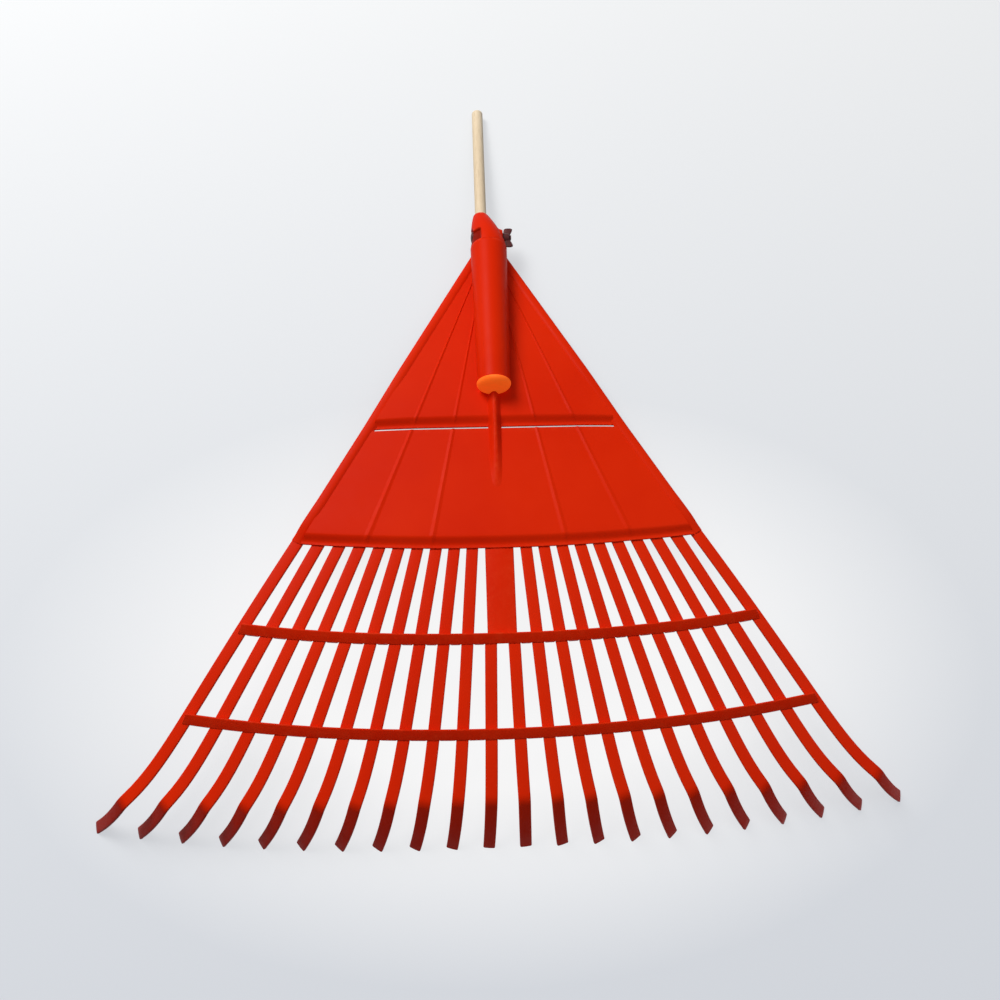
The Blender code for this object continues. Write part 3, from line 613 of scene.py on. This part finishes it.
rim, bore = TUBE_CAP_R + PLUG_RIM, TUBE_CAP_R - TUBE_WALL
face, seat, floor_y = end - PLUG_FLANGE_T, end - FIT_GAP, end + 0.0005
plug_profile = [
    (face, 0.0001), *[(face + rise, rim * share) for rise, share in PLUG_DOME],
    (end - 0.0009, rim), (end - 0.0004, rim - 0.0004), (seat, rim - 0.0009), (seat, bore - FIT_GAP),
    (end + PLUG_SPIGOT_L, bore - FIT_GAP), (end + PLUG_SPIGOT_L, bore - PLUG_HOLLOW),
    (floor_y, bore - PLUG_HOLLOW), (floor_y, 0.0001),
]
plug_edge = np.zeros((len(plug_profile), 1))
flange_rows = slice(len(PLUG_DOME) - 1, len(PLUG_DOME) + 3)
plug_edge[flange_rows] = 0.6
plug = shell("end_plug_moulded", turned(plug_profile), plug_edge)
finished(plug, "rake", plug_orange, "plug_orange", "end_plug")


# Collar
# The adaptor between the tube and the slim handle: a lopsided cone of the head's plastic, with a
# round boss on each side for the cross bolt, and a spigot that goes down into the tube.

COLLAR_L, COLLAR_BASE_R, COLLAR_CURVE, COLLAR_WALL = 0.0380, 0.0168, 1.5, 0.0016
COLLAR_SPIGOT_L, COLLAR_SPIGOT_R, COLLAR_SPIGOT_END_R = 0.0140, 0.0145, 0.0142
HANDLE_X, HANDLE_R = -0.0065, 0.0055
PAD_LEFT, PAD_RIGHT, PAD_R, PAD_EASE = 0.0140, 0.0138, 0.0070, 0.0018
POCKET_X, POCKET_Y, POCKET_HALF_L = -0.0066, -0.0052, 0.0070
POCKET_DEPTH, POCKET_SLOPE, POCKET_PAINTED_SHADE = 0.0026, 0.0012, 0.85


def collar_rings(count=70, segments=160):
    """Rings about a centre that drifts left as they shrink, with flat bosses raised round the bolt.

    Each side runs from base to nose by a power of the way, and the left one by twice that power.
    Within a boss's radius a point's side distance is the boss's, easing off outside it. Over the left
    boss the upper surface is let down into a shallow pocket with short, even slopes, and shade is
    painted into it. The last five rings go round the nose, down the handle's hole and back along the
    outside of the spigot.
    """
    hole = HANDLE_R + FIT_GAP
    nose = hole + COLLAR_WALL
    part = np.linspace(0, 1, count)
    left = -COLLAR_BASE_R + (COLLAR_BASE_R + HANDLE_X - nose) * part ** (2 * COLLAR_CURVE)
    right = COLLAR_BASE_R + (HANDLE_X + nose - COLLAR_BASE_R) * part ** COLLAR_CURVE
    y = -TUBE_MOUTH + FIT_GAP + (COLLAR_L - FIT_GAP) * part
    x, r = (left + right) / 2, (right - left) / 2
    inside = -TUBE_MOUTH - COLLAR_SPIGOT_L
    tail = np.array([[y[-1], HANDLE_X, nose - 0.0005], [y[-1], HANDLE_X, hole], [inside, HANDLE_X, hole],
                     [inside, 0.0, COLLAR_SPIGOT_END_R], [y[0], 0.0, COLLAR_SPIGOT_R]])
    r[-1] -= 0.0002
    y, x, r = (np.concatenate([a, tail[:, i]]) for i, a in enumerate((y, x, r)))
    angle = np.linspace(0, 2 * math.pi, segments, endpoint=False)
    rings = np.stack([x[:, None] + r[:, None] * np.cos(angle), y[:, None] + 0 * angle,
                      TUBE_AXIS_Z + r[:, None] * np.sin(angle)], axis=-1)
    outer = rings[:count]
    away = np.hypot(outer[..., 1], outer[..., 2] - TUBE_AXIS_Z)
    hold = np.clip((PAD_R + PAD_EASE - away) / PAD_EASE, 0, 1)
    hold = hold * hold * (3 - 2 * hold)
    for sign, pad in ((-1, PAD_LEFT), (1, PAD_RIGHT)):
        facing = np.sign(outer[..., 0] - x[:count, None]) == sign
        outer[..., 0] += np.where(facing, (sign * pad - outer[..., 0]) * hold, 0)
    sunk = np.clip((POCKET_HALF_L - np.abs(outer[..., 1] - POCKET_Y)) / POCKET_SLOPE, 0, 1)
    sunk *= np.clip((POCKET_X - outer[..., 0]) / POCKET_SLOPE, 0, 1) * (outer[..., 2] > TUBE_AXIS_Z)
    outer[..., 2] -= POCKET_DEPTH * sunk
    edge, dark_tone_and_painted_shade = np.zeros((len(y), segments)), np.zeros((len(y), segments))
    edge[[0, count - 1, count]] = 0.8
    # Painted shade darkens the pocket where its surface is let down
    dark_tone_and_painted_shade[:count] = POCKET_PAINTED_SHADE * sunk
    return laid(rings), edge, dark_tone_and_painted_shade


moulded("collar", *collar_rings(), closed=True)


# Handle
# A slim turned stick of pale, bare wood that goes into the collar, left of the tube's middle.

HANDLE_FOOT_Y, HANDLE_ROUND = -0.0620, 0.0010


def bare_wood():
    """Pale bare wood: long growth streaks along the stick, and fine, slightly darker pores."""
    n = Nodes("handle_wood")
    streak = n.span(n.noise(60.0, 5.0, 0.6, stretch=(1.0, 0.045, 1.0)), 0.32, 0.68, 0.0, 1.0)
    fibre = n.noise(900.0, 3.0, 0.6, stretch=(1.0, 0.03, 1.0))
    pale, tan = (0.850, 0.710, 0.515, 1), (0.705, 0.548, 0.358, 1)
    base = n.mix(streak, tan, pale)
    n.set("Base Color", n.mix(n.span(fibre, 0.52, 0.75, 0.0, 0.35), base, (0.40, 0.27, 0.14, 1)))
    n.set("Roughness", n.span(fibre, 0.3, 0.7, 0.55, 0.72))
    n.bump(fibre, 0.25, 0.0002)
    return n.material


handle_wood = bare_wood()
handle_profile = [
    (HANDLE_FOOT_Y, 0.0002), (HANDLE_FOOT_Y, HANDLE_R - HANDLE_ROUND),
    (HANDLE_FOOT_Y + HANDLE_ROUND, HANDLE_R),
    *[(y, HANDLE_R)
      for y in np.linspace(HANDLE_FOOT_Y + 2 * HANDLE_ROUND, HANDLE_END_Y - 2 * HANDLE_ROUND, 40)],
    (HANDLE_END_Y - HANDLE_ROUND, HANDLE_R), (HANDLE_END_Y - 0.0004, HANDLE_R - 0.0004),
    (HANDLE_END_Y, HANDLE_R - HANDLE_ROUND), (HANDLE_END_Y, 0.0002),
]
stick = shell("handle_turned", turned(handle_profile, segments=64, x=HANDLE_X))
finished(stick, "rake", handle_wood, "handle_wood", "handle")


# Cross bolt
# A dark coated steel bolt through the collar and the handle: a domed head on the left, a plain
# shank, and a short thread that sticks out of the wing nut on the right.

BOLT_R, BOLT_CHAMFER, BOLT_PAST_NUT = 0.0025, 0.0006, 0.0020
HEAD_R, HEAD_H = 0.0060, 0.0026
THREAD_PITCH, THREAD_DEPTH, THREAD_FADE = 0.0008, 0.0003, 0.0006
NUT_HUB_H = 0.0060


def dark_steel():
    """Dark maroon coated steel: a mottled coating, smoother where it is darker."""
    n = Nodes("fastener_dark")
    mottle = n.span(n.noise(220.0, 5.0, 0.65), 0.35, 0.7, 0.0, 1.0)
    n.set("Base Color", n.mix(mottle, (0.052, 0.006, 0.006, 1), (0.090, 0.012, 0.011, 1)))
    n.set("Metallic", 0.2)
    n.set("Specular IOR Level", 0.3)
    n.set("Roughness", n.span(mottle, 0.0, 1.0, 0.36, 0.52))
    n.bump(n.noise(900.0, 4.0, 0.6), 0.15, 0.0001)
    return n.material


fastener_dark = dark_steel()


def across_bolt(x, radius):
    """Rings about the bolt's axis, which runs along X at the tube's height over the apex.

    The radius has a row for each x, with one value, or with one for each point around.
    """
    angle = np.linspace(0, 2 * math.pi, AROUND, endpoint=False)
    return laid(np.stack([x[:, None] + 0 * angle, radius * np.cos(angle),
                          TUBE_AXIS_Z + radius * np.sin(angle)], axis=-1))


def bolt_rings():
    """A domed head that follows a quarter of an ellipse, a step in to the shank, and the thread.

    The thread is a ridge whose depth rises and falls in a line once in each pitch, a turn later for
    each turn around. It fades out before the bolt's end.
    """
    under_head = -PAD_LEFT - FIT_GAP
    end = PAD_RIGHT + FIT_GAP + NUT_HUB_H + BOLT_PAST_NUT
    rise = np.linspace(0, 1, 14) * math.pi / 2
    thread_x = np.linspace(PAD_RIGHT, end, 120)
    x = np.concatenate([under_head - HEAD_H * np.cos(rise) ** 0.8, [under_head, under_head], thread_x])
    turn = np.linspace(0, 1, AROUND, endpoint=False)
    wave = np.abs((thread_x[:, None] / THREAD_PITCH - turn) % 1.0 - 0.5) * 2
    cut = THREAD_DEPTH * wave * np.clip((end - thread_x[:, None]) / THREAD_FADE, 0, 1)
    dome = HEAD_R * np.sin(np.maximum(rise, 0.01 * math.pi / 2))
    plain = np.concatenate([dome, [HEAD_R, BOLT_R]])[:, None] + 0 * turn
    radius = np.concatenate([plain, BOLT_R - cut])
    radius[-1] = BOLT_R - BOLT_CHAMFER
    return across_bolt(x, radius)


finished(shell("cross_bolt_steel", bolt_rings()), "rake", fastener_dark, "fastener_dark", "cross_bolt")


# Wing nut
# A pressed and tapped nut of the same dark steel, with two wings that widen away from the collar.
# It turns on the bolt.

NUT_HUB_R = 0.0047
NUT_SPAN, NUT_WING_H, NUT_WING_T = 0.0215, 0.0095, 0.0024
nut_x = PAD_RIGHT + FIT_GAP


def wing_rings(side):
    """A wing as squarish oval sections from inside the hub out to a round end.

    It grows taller by a quarter of a sine wave and thinner in a line, and its last part closes by a
    quarter of a circle.
    """
    t = np.linspace(0, 1, 26)
    root, shoulder = NUT_HUB_R * 0.45, NUT_HUB_H * 1.10
    reach = root + (NUT_SPAN / 2 - root) * np.sin(t * math.pi / 2) ** 0.9
    low = 0.0006 + 0.0016 * t ** 2
    high = shoulder + (NUT_WING_H - shoulder) * np.sin(np.clip(t * 1.5, 0, 1) * math.pi / 2)
    shut = np.sqrt(np.clip(1 - np.clip((t - 0.62) / 0.38, 0, 1) ** 2, 0.02, 1))
    middle, half = (low + high) / 2, (high - low) / 2 * shut
    thick = (NUT_WING_T / 2) * (1.15 - 0.35 * t) * np.sqrt(shut)
    angle = np.linspace(0, 2 * math.pi, 28, endpoint=False)
    c, s = (np.sign(v) * np.abs(v) ** 0.7 for v in (np.cos(angle), np.sin(angle)))
    return laid(np.stack([nut_x + middle[:, None] + half[:, None] * c, side * (reach[:, None] + 0 * c),
                          TUBE_AXIS_Z + thick[:, None] * s], axis=-1))


# The hub's section: up its outside from the collar's boss, and back down through its bore
hub_x = nut_x + np.array([0, 0, 0.0004, 0.0008, 0.0030, 0.0052, 0.0057, 0.0060, 0.0060, 0.0054, 0.0006])
hub_r = np.array([0.0030, 0.0044, 0.0047, 0.0047, 0.0043, 0.0041, 0.0039, 0.0035, 0.0031, 0.0029, 0.0029])
nut = shell("wing_nut_steel", across_bolt(hub_x, hub_r[:, None]), closed=True)
wings = [shell("wing_" + word, wing_rings(side)) for side, word in ((-1, "front"), (1, "back"))]
for wing in wings:
    joined = nut.modifiers.new(wing.name, "BOOLEAN")
    joined.operation, joined.solver, joined.object = "UNION", "EXACT", wing
bpy.context.view_layer.update()
solid = bpy.data.meshes.new_from_object(nut.evaluated_get(bpy.context.evaluated_depsgraph_get()))
nut.modifiers.clear()
nut.data = solid
for wing in wings:
    bpy.data.objects.remove(wing, do_unlink=True)
solid.shade_smooth()
solid.set_sharp_from_angle(angle=SMOOTH_UP_TO)
finished(nut, "nut", fastener_dark, "fastener_dark", "wing_nut")


# Studio
# A pale floor that fades to a cooler grey towards the front, a soft key lamp behind on the left,
# a weak fill, and the camera high over the tips.

BACKDROP = (0.86, 0.88, 0.91, 1)


def seen(tree):
    """The larger of three flags: a ray from the camera, one seen in a gloss, one through glass."""
    path = tree.nodes.new("ShaderNodeLightPath")
    flag = path.outputs["Is Camera Ray"]
    for kind in ("Is Glossy Ray", "Is Transmission Ray"):
        larger = tree.nodes.new("ShaderNodeMath")
        larger.operation = "MAXIMUM"
        tree.links.new(flag, larger.inputs[0])
        tree.links.new(path.outputs[kind], larger.inputs[1])
        flag = larger.outputs[0]
    return flag


def pale_floor():
    """Pale matt floor, cooler towards the front, with a soft round pool of painted light under the tines.

    Seen directly or in a gloss, most of its tone is even, so that only a soft shadow stays on it.
    In the painted pool still more of it is even, which washes out the shadow there.
    Far from the rake it passes into the backdrop's colour.
    """
    n = Nodes("pale_floor")
    depth = n.add("ShaderNodeSeparateXYZ", {"Vector": n.place}).outputs["Y"]
    tone = n.mix(n.span(depth, -0.62, 0.50, 0.0, 1.0), (0.700, 0.730, 0.785, 1), (0.885, 0.897, 0.910, 1))
    oval = n.add("ShaderNodeMapping", {"Vector": n.place, "Location": (0, 0.80, 0), "Scale": (2.3, 3.9, 0)})
    away = n.add("ShaderNodeVectorMath", {0: oval.outputs[0]}, operation="LENGTH").outputs["Value"]
    painted_light_pool = n.span(away, 0.40, 0.98, 1.0, 0.0)
    # Painted light: the floor's tone goes towards white in a soft pool under the tines
    tone = n.mix(n.times(painted_light_pool, 0.90), tone, (1.0, 1.0, 1.0, 1))
    far = n.span(away, 3.0, 8.0, 0.0, 1.0)
    tone = n.mix(far, tone, BACKDROP)
    direct = seen(n.tree)
    n.set("Base Color", n.mix(direct, (0.30, 0.31, 0.33, 1), tone))
    n.set("Roughness", 0.9)
    n.set("Specular IOR Level", 0.1)
    # The floor's glow for direct rays, which carries the painted pool too
    painted_glow = n.add("ShaderNodeEmission", {"Color": tone, "Strength": 1.0}).outputs[0]
    # In the painted pool the even share rises, so the shadow there nearly goes
    share = n.times(direct, n.larger(n.span(painted_light_pool, 0.0, 1.0, 0.64, 0.90), far))
    mixed = n.add("ShaderNodeMixShader", {0: share, 1: n.shader.outputs[0], 2: painted_glow}).outputs[0]
    n.tree.links.new(mixed, n.tree.nodes["Material Output"].inputs["Surface"])
    return n.material


floor_mesh = bpy.data.meshes.new("floor")
floor_mesh.from_pydata([(-30, -30, 0), (30, -30, 0), (30, 30, 0), (-30, 30, 0)], [], [(0, 1, 2, 3)])
floor_mesh.materials.append(pale_floor())
floor = bpy.data.objects.new("floor", floor_mesh)
bpy.context.scene.collection.objects.link(floor)


def aimed(obj, place, forward, up):
    """Puts an object whose -Z looks along forward, and whose +Y is as near to up as that allows."""
    f = np.asarray(forward, float) / np.linalg.norm(forward)
    r = np.cross(f, up)
    r /= np.linalg.norm(r)
    u = np.cross(r, f)
    matrix = np.eye(4)
    matrix[:3, 0], matrix[:3, 1], matrix[:3, 2], matrix[:3, 3] = r, u, -f, place
    obj.matrix_world = Matrix(matrix.tolist())


def lamp(name, place, target, size, power, colour):
    """A square soft lamp that looks at a point."""
    light = bpy.data.lights.new(name, "AREA")
    light.size, light.energy, light.color = size, power, colour
    obj = bpy.data.objects.new(name, light)
    bpy.context.scene.collection.objects.link(obj)
    aimed(obj, place, np.subtract(target, place), (0, 0, 1))


lamp("key", (-1.07, 1.25, 1.71), (0, -0.05, 0), size=1.1, power=49.5, colour=(1.0, 0.985, 0.96))
lamp("fill", (1.2, 0.2, 2.1), (0, 0, 0), size=1.6, power=7, colour=(0.95, 0.975, 1.0))


def soft_room():
    """A dim, cool room light, which is a pale backdrop where it is seen."""
    world = bpy.data.worlds.new("soft_room")
    world.use_nodes = True
    tree = world.node_tree
    room, backdrop = tree.nodes["Background"], tree.nodes.new("ShaderNodeBackground")
    for node, colour, strength in ((room, (0.93, 0.96, 1.0, 1), 0.22), (backdrop, BACKDROP, 1.0)):
        node.inputs["Color"].default_value, node.inputs["Strength"].default_value = colour, strength
    mixed = tree.nodes.new("ShaderNodeMixShader")
    tree.links.new(seen(tree), mixed.inputs[0])
    tree.links.new(room.outputs[0], mixed.inputs[1])
    tree.links.new(backdrop.outputs[0], mixed.inputs[2])
    tree.links.new(mixed.outputs[0], tree.nodes["World Output"].inputs["Surface"])
    return world


bpy.context.scene.world = soft_room()

ELEVATION, AZIMUTH, ROLL = (math.radians(a) for a in (74.44, 8.64, 6.97))
CAMERA_PLACE = (-0.0257, -0.2540, 0.6999)
look = (math.cos(ELEVATION) * math.sin(AZIMUTH), math.cos(ELEVATION) * math.cos(AZIMUTH),
        -math.sin(ELEVATION))
level = np.array([math.cos(AZIMUTH), -math.sin(AZIMUTH), 0.0])
upright = np.cross(level, look)
camera = bpy.data.objects.new("camera", bpy.data.cameras.new("camera"))
bpy.context.scene.collection.objects.link(camera)
camera.data.sensor_width, camera.data.lens, camera.data.clip_start = 36.0, 28.8, 0.01
aimed(camera, CAMERA_PLACE, look, -level * math.sin(ROLL) + upright * math.cos(ROLL))
bpy.context.scene.camera = camera

bpy.context.scene.view_settings.view_transform = "Standard"
